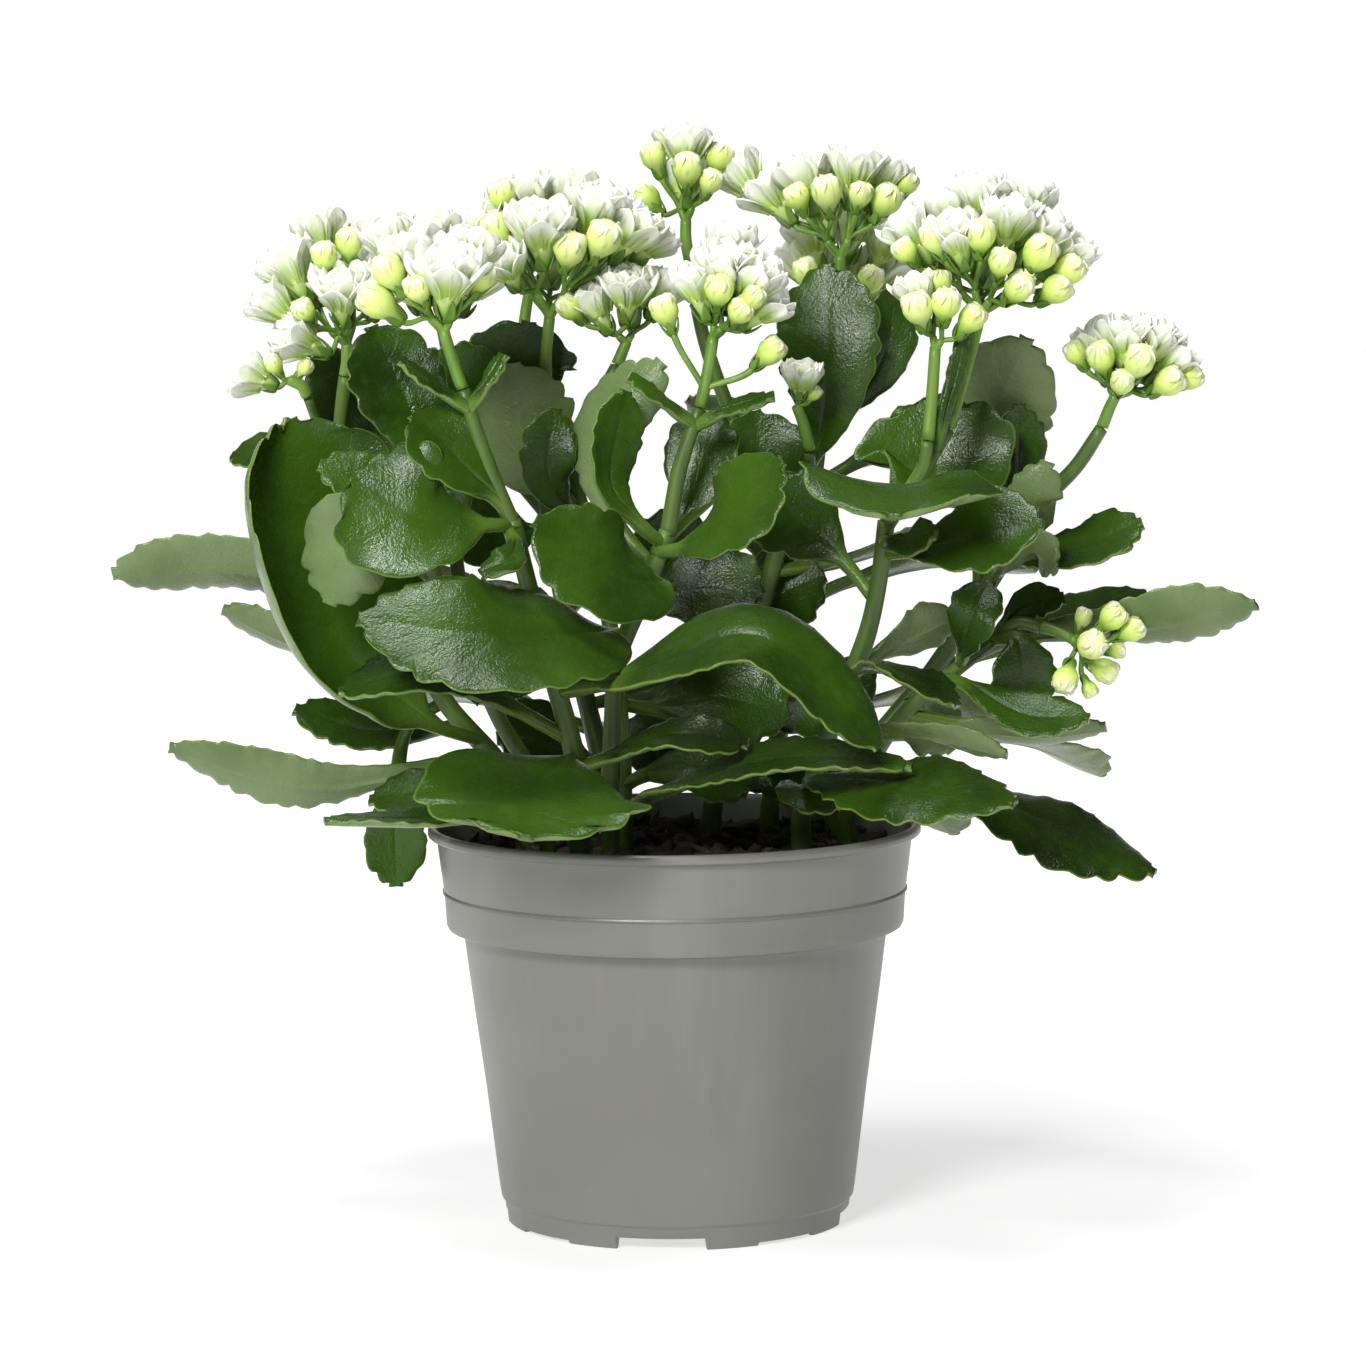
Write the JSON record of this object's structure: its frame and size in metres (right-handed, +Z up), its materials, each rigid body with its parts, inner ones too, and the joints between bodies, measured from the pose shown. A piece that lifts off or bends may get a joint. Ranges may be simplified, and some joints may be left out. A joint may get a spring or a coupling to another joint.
{
  "type": "potted kalanchoe",
  "caption": "Kalanchoe in a tapered plastic grower's pot, with soil, leafy stems with scalloped leaves, and double white flower heads above them.",
  "frame": {"origin": "on the pot's axis, on the plane that the pot stands on", "axes": "+Z up along the pot's axis, -Y towards the front of the plant, +X to the right as seen from the front"},
  "size_m": [0.2774, 0.1693, 0.2655],
  "materials": {
    "pot": "satin grey moulded plastic",
    "soil": "dark crumbly peat",
    "leaf": "glossy fleshy green leaf",
    "flower": "soft white petals on lime green calyces"
  },
  "bodies": {
    "root": {"pot": "pot", "potting_soil": "soil", "leafy_stem_front_left": "leaf", "leafy_stem_front_middle": "leaf", "leafy_stem_middle": "leaf", "leafy_stem_left": "leaf", "leafy_stem_low_left": "leaf", "leafy_stem_right": "leaf", "leafy_stem_low_right": "leaf", "leafy_stem_back_right": "leaf", "leafy_stem_back_middle": "leaf", "leafy_stem_back_left": "leaf", "leafy_stem_rear": "leaf", "flower_head_left": "flower", "flower_head_far_left": "flower", "flower_head_front_left": "flower", "flower_head_middle": "flower", "flower_head_inner": "flower", "flower_head_front": "flower", "flower_head_back_middle": "flower", "flower_head_back_right": "flower", "flower_head_right": "flower", "flower_head_low_right": "flower", "flower_head_far_right": "flower", "bud_cluster_right": "flower", "flower_head_single": "flower", "flower_head_rear_left": "flower", "flower_head_rear_middle": "flower", "flower_head_rear_right": "flower"}
  },
  "joints": []
}
